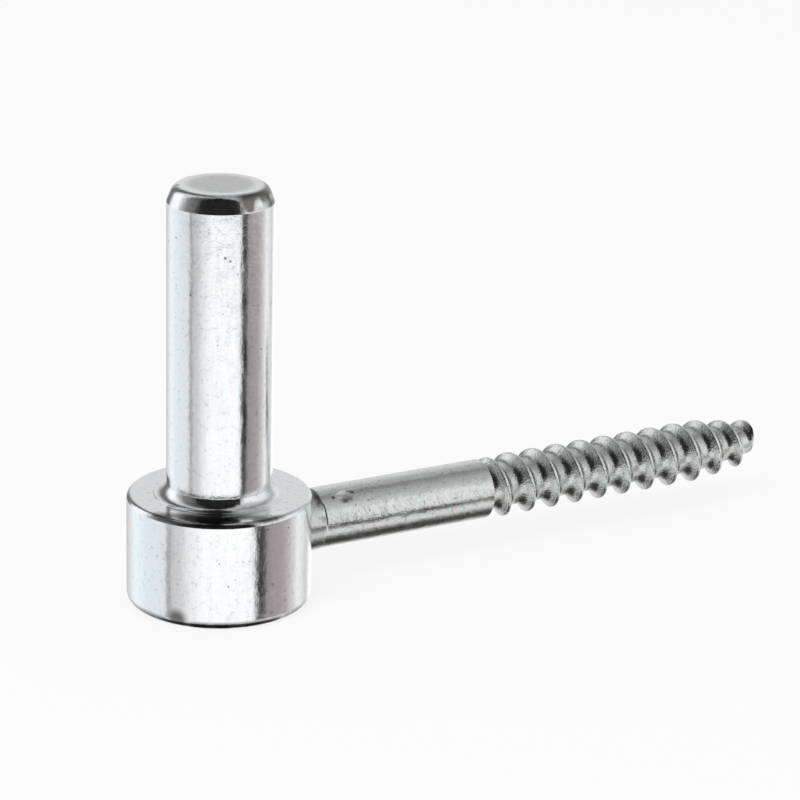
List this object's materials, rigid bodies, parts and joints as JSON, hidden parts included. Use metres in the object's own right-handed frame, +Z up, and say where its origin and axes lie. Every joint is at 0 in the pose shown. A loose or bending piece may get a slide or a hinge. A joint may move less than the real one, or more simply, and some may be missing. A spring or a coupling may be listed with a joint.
{
  "type": "screw-in hinge pin",
  "caption": "Upright round pin on a cylindrical collar with a horizontal wood screw welded into its side, for hanging a gate or shutter from a timber post.",
  "frame": {"origin": "middle of the collar's flat foot, on the pin's axis", "axes": "+Z up along the pin, +X out along the screw towards its tip"},
  "size_m": [0.1123, 0.028, 0.065],
  "materials": {
    "turned_steel": "bright zinc plate over fine turning marks",
    "rolled_steel": "bright zinc plate over a rolled thread"
  },
  "bodies": {
    "root": {"hinge_pin": "turned_steel", "wood_screw": "rolled_steel"}
  },
  "joints": []
}
